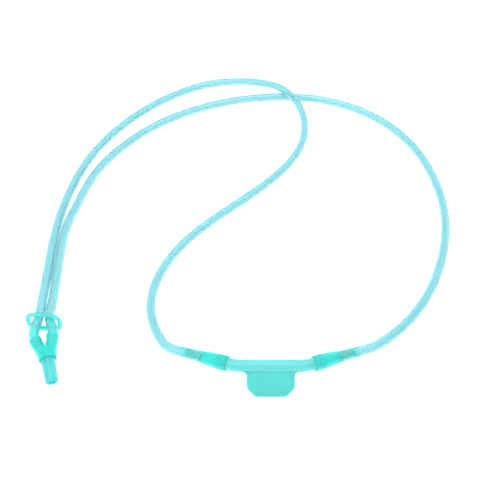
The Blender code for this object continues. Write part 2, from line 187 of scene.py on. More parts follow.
def grid_faces(rows: int, columns: int) -> np.ndarray:
    """The faces of a grid that closes on itself both ways.

    Args:
        rows: Rows of the grid, along the shape.
        columns: Columns of the grid, which turn right about the shape as the rows go on.

    Returns:
        Four point numbers a row, in an order that faces outwards.
    """
    row, column = np.meshgrid(np.arange(rows), np.arange(columns), indexing="ij")
    next_row, next_column = (row + 1) % rows, (column + 1) % columns
    corners = (row * columns + column, next_row * columns + column,
               next_row * columns + next_column, row * columns + next_column)
    return np.stack(corners, axis=-1).reshape(-1, 4)


def turned(outline: np.ndarray, start: np.ndarray, direction: np.ndarray,
           sides: int) -> tuple[np.ndarray, np.ndarray]:
    """Turns a closed (along, radius) outline about an axis.

    Formula: start + direction * along + (side * cos t + up * sin t) * radius.

    Args:
        outline: The outline, one point a row.
        start: Where along is 0.
        direction: The axis.
        sides: Steps round the axis.

    Returns:
        The points and the faces.
    """
    side = unit(np.cross(direction, [0.0, 0.0, 1.0]))
    up = np.cross(side, direction)
    angle = np.linspace(0.0, 2 * np.pi, sides, endpoint=False)[None, :, None]
    round_about = np.cos(angle) * side + np.sin(angle) * up
    along, radius = outline[:, 0, None, None], outline[:, 1, None, None]
    points = start + direction * along + round_about * radius
    return points.reshape(-1, 3), grid_faces(len(outline), sides)


# ------------------------------------------------------------------------- solids from distances


def chain(points: np.ndarray, places: np.ndarray, radii: np.ndarray) -> np.ndarray:
    """Distance to a chain of round rods.

    Formula: for each rod, the distance to the nearest point of its axis less the rod's radius there; then
    the least over the rods.

    Args:
        points: Where to measure, one a row.
        places: The ends of the rods, one a row.
        radii: The radius at each end.

    Returns:
        One distance for each point, below 0 inside.
    """
    nearest = np.full(len(points), np.inf)
    for start, end, first, last in zip(places[:-1], places[1:], radii[:-1], radii[1:]):
        span = end - start
        share = np.clip((points - start) @ span / (span @ span), 0.0, 1.0)
        gap = np.linalg.norm(points - start - share[:, None] * span, axis=1)
        nearest = np.minimum(nearest, gap - first - (last - first) * share)
    return nearest


def blend_in(first: np.ndarray, second: np.ndarray, ease: float) -> np.ndarray:
    """Both solids as one, with a fillet.

    Formula: the lesser distance, less a quarter of ease times the square of 1 - |difference| / ease.

    Args:
        first: Distances to one solid.
        second: Distances to the other.
        ease: How far from equal distances the fillet reaches.

    Returns:
        The distances to the joined solid.
    """
    near = np.maximum(1.0 - np.abs(first - second) / ease, 0.0)
    return np.minimum(first, second) - near**2 * ease / 4


def keep_within(first: np.ndarray, second: np.ndarray, ease: float) -> np.ndarray:
    """What both solids share, with its edge eased. Formula: blend_in of the negated distances, negated."""
    return -blend_in(-first, -second, ease)


def drum(points: np.ndarray, low: float, high: float, radius: float, ease: float) -> np.ndarray:
    """Distance to a round drum about the Y axis, with eased edges.

    Args:
        points: Where to measure, one a row.
        low: The drum's lower end on the Y axis.
        high: Its upper end.
        radius: Its radius.
        ease: How much its edges are eased.

    Returns:
        One distance for each point, below 0 inside.
    """
    out = np.hypot(points[:, 0], points[:, 2]) - radius
    return keep_within(out, np.abs(points[:, 1] - (low + high) / 2) - (high - low) / 2, ease)


def in_slices(distance: Callable[[np.ndarray], np.ndarray], points: np.ndarray) -> np.ndarray:
    """The distances at many points, worked out a slice at a time to spare memory."""
    slices = max(1, len(points) // POINTS_AT_ONCE)
    return np.concatenate([distance(part) for part in np.array_split(points, slices)])


def skin_of(distance: Callable[[np.ndarray], np.ndarray], low: np.ndarray, high: np.ndarray,
            step: float) -> tuple[np.ndarray, np.ndarray]:
    """The closed surface where a distance function is 0.

    Formula: on a grid of cubes, each cube that the surface crosses gets one point, the mean of where the
    surface crosses the cube's edges. Each grid edge that the surface crosses joins the four cubes round
    it with a face. The points then slide along the gradient by the distance left, twice.

    Args:
        distance: Gives the distance of each row of an array of points, below 0 inside.
        low: The grid's lowest corner, outside the solid.
        high: The grid's highest corner, outside the solid.
        step: The grid's spacing.

    Returns:
        The points and the faces, which point outwards.
    """
    counts = np.ceil((high - low) / step).astype(int) + 1
    axes = [start + step * np.arange(count) for start, count in zip(low, counts)]
    lattice = np.stack(np.meshgrid(*axes, indexing="ij"), axis=-1)
    values = in_slices(distance, lattice.reshape(-1, 3)).reshape(counts)
    inside = values < 0.0

    corner = np.array([[x, y, z] for x in (0, 1) for y in (0, 1) for z in (0, 1)])
    shifted = [inside[x:counts[0] - 1 + x, y:counts[1] - 1 + y, z:counts[2] - 1 + z] for x, y, z in corner]
    crossed = np.any(shifted, axis=0) & ~np.all(shifted, axis=0)
    cells = np.argwhere(crossed)
    number = np.full(counts - 1, -1)
    number[crossed] = np.arange(len(cells))

    total, hits = np.zeros((len(cells), 3)), np.zeros((len(cells), 1))
    for axis in range(3):
        for begin in corner[corner[:, axis] == 0]:
            first = cells + begin
            last = first + np.eye(3, dtype=int)[axis]
            one, two = values[tuple(first.T)], values[tuple(last.T)]
            cuts = ((one < 0.0) != (two < 0.0))[:, None]
            share = np.where(cuts[:, 0], one / np.where(one == two, 1.0, one - two), 0.0)[:, None]
            total += np.where(cuts, low + step * (first + share * (last - first)), 0.0)
            hits += cuts
    points = total / hits

    faces = []
    for axis in range(3):
        beside, across = np.eye(3, dtype=int)[(axis + 1) % 3], np.eye(3, dtype=int)[(axis + 2) % 3]
        length = counts[axis]
        first = inside.take(np.arange(length - 1), axis=axis)
        last = inside.take(np.arange(1, length), axis=axis)
        edges = np.argwhere(first != last)
        loop = np.stack([number[tuple((edges - shift).T)]
                         for shift in (0 * beside, beside, beside + across, across)], axis=1)
        outward = first[tuple(edges.T)]
        faces.append(np.where(outward[:, None], loop, loop[:, ::-1]))

    reach = step / 4
    for _ in range(2):
        slope = np.stack([distance(points + reach * way) - distance(points - reach * way)
                          for way in np.eye(3)], axis=1)
        points = points - unit(slope) * np.clip(distance(points), -step, step)[:, None]
    return points, np.concatenate(faces)


def smooth_share(values: np.ndarray, low: float, high: float) -> np.ndarray:
    """How far each value is from low to high, from 0 to 1. Formula: 3 s^2 - 2 s^3 of the clipped share s."""
    share = np.clip((values - low) / (high - low), 0.0, 1.0)
    return share**2 * (3 - 2 * share)


def add_piece(name: str, points: np.ndarray, faces: np.ndarray, material: bpy.types.Material,
              body: str, stands_for: str, depth: np.ndarray | float = 0.0) -> bpy.types.Object:
    """Makes a smooth mesh object at the origin and gives it its place in the frame.

    Args:
        name: The piece's name.
        points: One vertex a row.
        faces: Four vertex numbers a row.
        material: What it is made of.
        body: The body that it rides on.
        stands_for: The node that it replaces.
        depth: The share of its finish's deep colour, one for each vertex or one for all; painted light on the
            nosepiece.

    Returns:
        The new object.
    """
    mesh = bpy.data.meshes.new(name)
    mesh.vertices.add(len(points))
    mesh.vertices.foreach_set("co", points.astype(np.float32).ravel())
    mesh.loops.add(faces.size)
    mesh.loops.foreach_set("vertex_index", faces.astype(np.int32).ravel())
    mesh.polygons.add(len(faces))
    mesh.polygons.foreach_set("loop_start", np.arange(0, faces.size, 4, dtype=np.int32))
    mesh.update(calc_edges=True)
    mesh.validate()
    mesh.shade_smooth()
    mesh.materials.append(material)
    shares = mesh.attributes.new(TINT_AND_PAINTED_LIGHT, "FLOAT", "POINT")
    shares.data.foreach_set("value", np.broadcast_to(depth, len(points)).astype(np.float32))
    piece = bpy.data.objects.new(name, mesh)
    bpy.context.scene.collection.objects.link(piece)
    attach(piece, body)
    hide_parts(stands_for)
    log.info("%s: %d faces", name, len(faces))
    return piece


# ------------------------------------------------------------------------------------ finishes


def linear(colour: str) -> tuple[float, float, float, float]:
    """Turns an sRGB hex colour into the linear numbers that a shader takes.

    Formula: c / 12.92 below 0.04045, else ((c + 0.055) / 1.055) to the power 2.4, for each channel.
    """
    channels = [int(colour[start:start + 2], 16) / 255 for start in (1, 3, 5)]
    values = [c / 12.92 if c <= 0.04045 else ((c + 0.055) / 1.055)**2.4 for c in channels]
    return (*values, 1.0)


def add_node(material: bpy.types.Material, kind: str, settings: dict[str, object] | None = None,
             inputs: dict[str, object] | None = None) -> bpy.types.Node:
    """Adds a shader node with its settings and its inputs.

    Args:
        material: The material that it goes into.
        kind: The node's type name.
        settings: The node's own properties and their values.
        inputs: For each named input, a value, or another node's output to link.

    Returns:
        The new node.
    """
    node = material.node_tree.nodes.new(kind)
    for key, value in (settings or {}).items():
        setattr(node, key, value)
    for key, value in (inputs or {}).items():
        socket = node.inputs[key]
        if isinstance(value, bpy.types.NodeSocket):
            material.node_tree.links.new(value, socket)
        else:
            socket.default_value = value
    return node


def empty_material(name: str) -> bpy.types.Material:
    """A material whose node tree has nothing in it yet."""
    material = bpy.data.materials.new(name)
    material.use_nodes = True
    material.node_tree.nodes.clear()
    return material


@dataclass(frozen=True)
class ExtrudedVinyl:
    """Clear plasticised PVC tubing, drawn through a die: wet-looking, see-through and faintly tinted.

    The long way through the wall at either edge takes out more red than the short way through the middle,
    so the edges read darker. The die leaves fine lines along the tube. The ends that are bonded to the
    teal mouldings take up their colour.
    """

    name: str = "clear_vinyl_tubing"
    pale: str = "#D0F8FC"
    deep: str = "#BEF2F8"
    bonded: str = "#90FFFC"
    dye: tuple[float, float, float] = (0.25, 0.955, 0.97)
    dye_density: float = 420.0
    clarity: float = 0.72
    roughness: tuple[float, float] = (0.16, 0.26)
    cloud_size: float = 9 * MM
    # Real die lines are a few hundredths of a millimetre apart, too fine to show, so these are coarser.
    lines_round: float = 7.0
    lines_along: float = 0.02
    line_depth: float = 0.002 * MM

    def material(self) -> bpy.types.Material:
        """Builds the material. Its patterns follow the tube's own skin attribute."""
        material = empty_material(self.name)
        skin = add_node(material, "ShaderNodeAttribute", {"attribute_name": SKIN}).outputs["Vector"]
        cloud = add_node(material, "ShaderNodeTexNoise", None,
                         {"Vector": skin, "Scale": MM / self.cloud_size, "Detail": 3.0})
        colour = add_node(material, "ShaderNodeMix", {"data_type": "RGBA"},
                          {"Factor": cloud.outputs["Fac"], "A": linear(self.pale), "B": linear(self.deep)})
        depth = add_node(material, "ShaderNodeAttribute", {"attribute_name": TINT_AND_PAINTED_LIGHT}).outputs["Fac"]
        tinted = add_node(material, "ShaderNodeMix", {"data_type": "RGBA"},
                          {"Factor": depth, "A": colour.outputs["Result"], "B": linear(self.bonded)})
        rough = add_node(material, "ShaderNodeMapRange", None,
                         {"Value": cloud.outputs["Fac"],
                          "From Min": NOISE_RANGE[0], "From Max": NOISE_RANGE[1],
                          "To Min": self.roughness[0], "To Max": self.roughness[1]})
        drawn = add_node(material, "ShaderNodeMapping", None,
                         {"Vector": skin, "Scale": (self.lines_round, self.lines_round, self.lines_along)})
        lines = add_node(material, "ShaderNodeTexNoise", None,
                         {"Vector": drawn.outputs["Vector"], "Scale": 1.0, "Detail": 2.0})
        bump = add_node(material, "ShaderNodeBump", None,
                        {"Height": lines.outputs["Fac"], "Strength": 0.6, "Distance": self.line_depth})
        surface = add_node(material, "ShaderNodeBsdfPrincipled", None,
                           {"Base Color": tinted.outputs["Result"], "Roughness": rough.outputs["Result"],
                            "Normal": bump.outputs["Normal"], "IOR": VINYL_IOR,
                            "Transmission Weight": self.clarity})
        volume = add_node(material, "ShaderNodeVolumeAbsorption", None,
                          {"Color": (*self.dye, 1.0), "Density": self.dye_density})
        add_node(material, "ShaderNodeOutputMaterial", None,
                 {"Surface": surface.outputs["BSDF"], "Volume": volume.outputs["Volume"]})
        return material


@dataclass(frozen=True)
class MouldedVinyl:
    """Soft injection-moulded PVC: milky and tinted, satin, with a fine etched grain from the mould.

    Thick pieces take out more red than thin ones, so they read as a deeper teal. Each piece has a share of
    the
    deep colour: the connector's solid foot has it and its hollow arms the pale one, while on the nosepiece
    the deep colour is painted shade on the tab and along the bar's lower edge, and the bar left pale is a
    painted highlight. The dye is a little uneven all over.
    """

    name: str
    pale: str
    deep: str
    dye: tuple[float, float, float] = (0.20, 0.994, 0.992)
    dye_density: float = 800.0
    clarity: float = 0.55
    roughness: tuple[float, float] = (0.30, 0.42)
    cloud_size: float = 5 * MM
    unevenness: float = 0.35
    # A mould's etch is about 0.05 mm across, too fine to show, so the grain is drawn at 0.35 mm.
    grain_size: float = 0.35 * MM
    grain_depth: float = 0.001 * MM

    def material(self) -> bpy.types.Material:
        """Builds the material. Its patterns lie in the object's own coordinates."""
        material = empty_material(self.name)
        place = add_node(material, "ShaderNodeTexCoord").outputs["Object"]
        cloud = add_node(material, "ShaderNodeTexNoise", None,
                         {"Vector": place, "Scale": 1.0 / self.cloud_size, "Detail": 3.0})
        # The deep colour's share; on the nosepiece it is painted shade on the tab and the bar's lower edge,
        # painted highlight on the bar.
        depth = add_node(material, "ShaderNodeAttribute", {"attribute_name": TINT_AND_PAINTED_LIGHT}).outputs["Fac"]
        share = add_node(material, "ShaderNodeMix", {"data_type": "FLOAT"},
                         {"Factor": self.unevenness, "A": depth, "B": cloud.outputs["Fac"]})
        colour = add_node(material, "ShaderNodeMix", {"data_type": "RGBA"},
                          {"Factor": share.outputs["Result"], "A": linear(self.pale), "B": linear(self.deep)})
        grain = add_node(material, "ShaderNodeTexNoise", None,
                         {"Vector": place, "Scale": 1.0 / self.grain_size, "Detail": 2.0})
        rough = add_node(material, "ShaderNodeMapRange", None,
                         {"Value": grain.outputs["Fac"],
                          "From Min": NOISE_RANGE[0], "From Max": NOISE_RANGE[1],
                          "To Min": self.roughness[0], "To Max": self.roughness[1]})
        bump = add_node(material, "ShaderNodeBump", None,
                        {"Height": grain.outputs["Fac"], "Strength": 0.5, "Distance": self.grain_depth})
        surface = add_node(material, "ShaderNodeBsdfPrincipled", None,
                           {"Base Color": colour.outputs["Result"], "Roughness": rough.outputs["Result"],
                            "Normal": bump.outputs["Normal"], "IOR": VINYL_IOR,
                            "Transmission Weight": self.clarity})
        volume = add_node(material, "ShaderNodeVolumeAbsorption", None,
                          {"Color": (*self.dye, 1.0), "Density": self.dye_density})
        add_node(material, "ShaderNodeOutputMaterial", None,
                 {"Surface": surface.outputs["BSDF"], "Volume": volume.outputs["Volume"]})
        return material


@dataclass(frozen=True)
class WhiteSweep:
    """A white paper sweep lit from behind and above, so that it stays white under the part."""

    name: str = "white_paper_sweep"
    paper: str = "#FBFBFB"
    shaded: str = "#F6F7F7"
    glow: float = 0.60
    cloud_size: float = 60 * MM

    def material(self) -> bpy.types.Material:
        """Builds the material."""
        material = empty_material(self.name)
        place = add_node(material, "ShaderNodeTexCoord").outputs["Object"]
        cloud = add_node(material, "ShaderNodeTexNoise", None,
                         {"Vector": place, "Scale": 1.0 / self.cloud_size, "Detail": 2.0})
        colour = add_node(material, "ShaderNodeMix", {"data_type": "RGBA"},
                          {"Factor": cloud.outputs["Fac"], "A": linear(self.paper), "B": linear(self.shaded)})
        surface = add_node(material, "ShaderNodeBsdfPrincipled", None,
                           {"Base Color": colour.outputs["Result"], "Roughness": 0.9,
                            "Specular IOR Level": 0.1, "Emission Color": (1.0, 1.0, 1.0, 1.0),
                            "Emission Strength": self.glow})
        add_node(material, "ShaderNodeOutputMaterial", None, {"Surface": surface.outputs["BSDF"]})
        return material


# ------------------------------------------------------------------------------------- pieces


@dataclass
class Studio:
    """The table, the soft lights and the camera."""

    aim: tuple[float, float, float] = (0.0240, 0.0608, 0.0)
    distance: float = 0.28194
    look_down: float = math.radians(50.0)
    lens: float = 42.677
    table_half: float = 3.0
    table_drop: float = 0.05 * MM
    world_strength: float = 0.80
    softboxes: tuple[tuple[tuple[float, float, float], float, float], ...] = (
        ((0.0, 0.15, 0.75), 0.50, 2.4),
        ((-0.65, -0.20, 0.45), 0.45, 0.8),
        ((0.55, 0.55, 0.50), 0.40, 0.6),
    )

    def place_camera(self) -> None:
        """Puts the camera where it looks down on the table at its angle, and makes it the scene's."""
        camera = bpy.data.objects.new("camera", bpy.data.cameras.new("camera"))
        camera.data.lens = self.lens
        camera.data.clip_start, camera.data.clip_end = 0.01, 20.0
        turn = Matrix.Rotation(math.pi / 2 - self.look_down, 4, "X")
        camera.matrix_world = Matrix.Translation(Vector(self.aim)) @ turn @ Matrix.Translation(
            (0.0, 0.0, self.distance))
        bpy.context.scene.collection.objects.link(camera)
        bpy.context.scene.camera = camera

    def light(self) -> None:
        """Adds a white world and the softboxes, each turned to the middle of the part."""
        scene = bpy.context.scene
        scene.view_settings.view_transform = "Standard"
        world = bpy.data.worlds.new("white_room")
        world.use_nodes = True
        world.node_tree.nodes["Background"].inputs["Color"].default_value = (1.0, 1.0, 1.0, 1.0)
        world.node_tree.nodes["Background"].inputs["Strength"].default_value = self.world_strength
        scene.world = world
        middle = (CAD_BOX[0] + CAD_BOX[1]) / 2
        for number, (place, size, power) in enumerate(self.softboxes, start=1):
            lamp = bpy.data.lights.new(f"softbox_{number}", "AREA")
            lamp.size, lamp.energy = size, power
            holder = bpy.data.objects.new(lamp.name, lamp)
            holder.location = place
            holder.rotation_euler = (middle - Vector(place)).to_track_quat("-Z", "Y").to_euler()
            scene.collection.objects.link(holder)

    def lay_table(self) -> None:
        """Adds the table top, which isn't part of the object."""
        half, drop = self.table_half, -self.table_drop
        corners = [(-half, -half, drop), (half, -half, drop), (half, half, drop), (-half, half, drop)]
        mesh = bpy.data.meshes.new("table_top")
        mesh.from_pydata(corners, [], [(0, 1, 2, 3)])
        mesh.materials.append(WhiteSweep().material())
        table = bpy.data.objects.new("table_top", mesh)
        bpy.context.scene.collection.objects.link(table)


@dataclass
class Nosepiece:
    """One soft moulding: a hollow bar whose ends bend back, two curved hollow prongs and a flat lip tab."""

    bar_radius: float = 2.45 * MM
    straight_half: float = 11.0 * MM
    bar_end: tuple[float, float, float] = (17.1 * MM, 1.1 * MM, -0.25 * MM)
    end_yaw: float = math.radians(22.0)
    end_dip: float = math.radians(10.5)
    neck_radius: float = 2.10 * MM
    neck_length: float = 4.5 * MM
    lumen_radius: float = 1.40 * MM
    prong_half_spacing: float = 9.4 * MM
    prong_radii: tuple[float, float] = (2.20 * MM, 1.90 * MM)
    prong_bore: float = 1.25 * MM
    prong_dips: tuple[float, float] = (math.radians(56.0), math.radians(67.0))
    tab_half_width: float = 9.5 * MM
    tab_thickness: float = 1.3 * MM
    tab_slope: float = math.radians(43.0)
    tab_corner: float = 3.4 * MM
    root_flare: float = 1.6 * MM
    mount_down_tab: float = 7.0 * MM
    prong_ease_parts: float = 2.6
    tab_edge_ease: float = 0.4 * MM
    tab_cut_ease: float = 0.7 * MM
    tab_face_ease: float = 0.5 * MM
    bar_end_ease: float = 0.25 * MM
    neck_end_ease: float = 0.2 * MM
    neck_fillet: float = 0.15 * MM
    prong_tip_ease: float = 0.45 * MM
    tab_fillet: float = 1.1 * MM
    prong_fillet: float = 1.0 * MM
    lumen_fillet: float = 0.5 * MM
    bore_ease: float = 0.25 * MM
    grid_step: float = 0.17 * MM
    grid_margin: float = 0.9 * MM
    # The deep colour is painted shade on the tab and along the bar's lower edge; the pale one on the bar is a
    # painted highlight.
    finish: MouldedVinyl = field(default_factory=lambda: MouldedVinyl(
        "moulded_vinyl_nosepiece", "#8EFCFA", "#60DCD4"))

    def __post_init__(self) -> None:
        """Works out the bar's middle from the mount on the tab's upper face, and the curves' controls."""
        mount = next(m for m in frame["record"]["mounts"] if m["name"] == "lip_tab_face")
        self.down = np.array([0.0, -math.cos(self.tab_slope), -math.sin(self.tab_slope)])
        self.upper = np.array([0.0, -math.sin(self.tab_slope), math.cos(self.tab_slope)])
        on_tab = self.down * self.mount_down_tab + self.upper * self.tab_thickness / 2
        self.centre = np.array(mount["pos_m"]) - on_tab
        height = self.centre[2]
        half_edge = self.tab_thickness / 2 * math.cos(self.tab_slope)
        self.tab_length = (height - half_edge) / math.sin(self.tab_slope)

        start, (end, away) = np.array([self.straight_half, 0.0, 0.0]), self.local_end()
        ease = np.linalg.norm(end - start) / 3
        bend = np.array([start, start + [ease, 0.0, 0.0], end - away * ease, end])
        self.bend = bezier(bend, np.linspace(0.0, 1.0, CURVE_STEPS))

        root = np.array([self.prong_half_spacing, 0.0, 0.0])
        drop = height - self.prong_radii[1] * math.cos(self.prong_dips[1])
        mean_dip = sum(self.prong_dips) / 2
        tip = root + heading(0.0, mean_dip) * drop / math.sin(mean_dip)
        self.tip_way = heading(0.0, self.prong_dips[1])
        ease = drop / self.prong_ease_parts
        first = root + heading(0.0, self.prong_dips[0]) * ease
        prong = np.array([root, first, tip - self.tip_way * ease, tip])
        self.prong = bezier(prong, np.linspace(0.0, 1.0, CURVE_STEPS))

    def local_end(self) -> tuple[np.ndarray, np.ndarray]:
        """The right end of the bar, about the bar's middle, and the way that it points."""
        return np.array(self.bar_end), heading(self.end_yaw - math.pi / 2, self.end_dip)

    def cuff_axis(self, side: Side) -> tuple[np.ndarray, np.ndarray]:
        """Where a cuff starts on the bar, in the frame, and the way that it points."""
        end, away = self.local_end()
        mirror = np.array([side.value, 1.0, 1.0])
        return self.centre + end * mirror, away * mirror

    def tab(self, points: np.ndarray) -> np.ndarray:
        """Distance to the tab: a plate with cut corners, from the bar down to the table.

        Formula: the greatest of the distances past its sides, its lower edge, its cut corners and its two
        faces. Near the bar the sides widen by the square of the distance left to it.

        Args:
            points: Where to measure, one a row, about the bar's middle and with X not below 0.

        Returns:
            One distance for each point, below 0 inside.
        """
        across, down, upper = points[:, 0], points @ self.down, points @ self.upper
        corner = self.tab_half_width + self.tab_length - self.tab_corner
        near_root = np.maximum(self.bar_radius + self.root_flare - down, 0.0)
        flare = near_root**2 / (2 * self.root_flare)
        sides = keep_within(across - self.tab_half_width - flare, down - self.tab_length,
                            self.tab_edge_ease)
        outline = keep_within(sides, (across + down - corner) / math.sqrt(2.0), self.tab_cut_ease)
        outline = np.maximum(outline, -down)
        return keep_within(outline, np.abs(upper) - self.tab_thickness / 2, self.tab_face_ease)

    def distance(self, points: np.ndarray) -> np.ndarray:
        """Distance to the moulding. Both halves are alike, so X is taken as |X|.

        Formula: the bar, its neck, the tab and a prong joined with fillets, less the bar's lumen and the
        prong's bore.

        Args:
            points: Where to measure, one a row, about the bar's middle.

        Returns:
            One distance for each point, below 0 inside.
        """
        points = np.column_stack([np.abs(points[:, 0]), points[:, 1], points[:, 2]])
        end, away = self.local_end()
        bar_line = np.vstack([[[0.0, 0.0, 0.0]], self.bend])
        bar = chain(points, bar_line, np.full(len(bar_line), self.bar_radius))
        bar = keep_within(bar, (points - end) @ away, self.bar_end_ease)
        neck_tip = end + away * self.neck_length
        neck = chain(points, np.array([end - away * MM, neck_tip + away * MM]), np.full(2, self.neck_radius))
        neck = keep_within(neck, (points - neck_tip) @ away, self.neck_end_ease)
        bar = blend_in(bar, neck, self.neck_fillet)
        prong = chain(points, self.prong, np.linspace(*self.prong_radii, len(self.prong)))
        prong = keep_within(prong, (points - self.prong[-1]) @ self.tip_way, self.prong_tip_ease)
        solid = blend_in(blend_in(bar, self.tab(points), self.tab_fillet), prong, self.prong_fillet)
        overrun = 2 * MM
        lumen_line = np.vstack([bar_line, neck_tip + away * overrun])
        lumen = chain(points, lumen_line, np.full(len(lumen_line), self.lumen_radius))
        bore_line = np.vstack([self.prong, self.prong[-1] + self.tip_way * overrun])
        bore = chain(points, bore_line, np.full(len(bore_line), self.prong_bore))
        return keep_within(solid, -blend_in(lumen, bore, self.lumen_fillet), self.bore_ease)

    def build(self) -> None:
        """Makes the moulding."""
        low, high = (np.array(corner) - self.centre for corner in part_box("nosepiece"))
        low, high = low - self.grid_margin, high + self.grid_margin
        points, faces = skin_of(self.distance, low, high, self.grid_step)
        # Painted light: shade painted on the tab and on the bar's lower front where it meets the tab, the
        # rest of the bar left pale as a painted highlight.
        within = smooth_share(self.tab_half_width + self.root_flare - np.abs(points[:, 0]), 0.0, MM)
        solid = smooth_share(points @ self.down, self.bar_radius / 2, self.bar_radius * 0.8) * within
        add_piece("nosepiece_skin", points + self.centre, faces, self.finish.material(),
                  "root", "nosepiece", solid)


@dataclass
class Cuff:
    """A sleeve over the bar's neck: a barrel, three shallow steps and a nipple inside the tube's end."""

    side: Side
    nosepiece: Nosepiece
    radius: float = 3.15 * MM
    barrel: float = 4.6 * MM
    step_radii: tuple[float, ...] = (3.0 * MM, 2.8 * MM, 2.6 * MM)
    step_length: float = 2.1 * MM
    nipple_radius: float = 1.70 * MM
    nipple_length: float = 8.0 * MM
    bore: float = 1.20 * MM
    lip_ease: float = 0.7 * MM
    fit: float = 0.03 * MM
    sides: int = 112
    finish: MouldedVinyl = field(default_factory=lambda: MouldedVinyl(
        "moulded_vinyl_cuff", "#36F8F0", "#20F4E8"))

    def tail_start(self) -> float:
        """How far from the cuff's mouth the tube's end sits."""
        return self.barrel + self.step_length * len(self.step_radii)

    def build(self) -> None:
        """Turns the cuff's outline about its axis."""
        start, away = self.nosepiece.cuff_axis(self.side)
        socket = self.nosepiece.neck_radius + self.fit
        depth = self.nosepiece.neck_length + self.fit
        face = self.tail_start()
        tip = face + self.nipple_length
        crisp, soft = 0.12 * MM, 0.3 * MM
        corners = [(tip, self.bore, crisp), (depth, self.bore, crisp), (depth, socket, 0.0),
                   (0.0, socket, crisp), (0.0, self.radius, self.lip_ease), (self.barrel, self.radius, crisp)]
        along = self.barrel
        for radius in self.step_radii:
            corners.append((along, radius, crisp / 2))
            along += self.step_length
            corners.append((along, radius, crisp))
        corners += [(face, self.nipple_radius, crisp), (tip, self.nipple_radius, soft)]
        points, faces = turned(rounded(corners), start, away, self.sides)
        name = f"{self.side.label}_cuff"
        add_piece(f"{name}_skin", points, faces, self.finish.material(), "root", name)


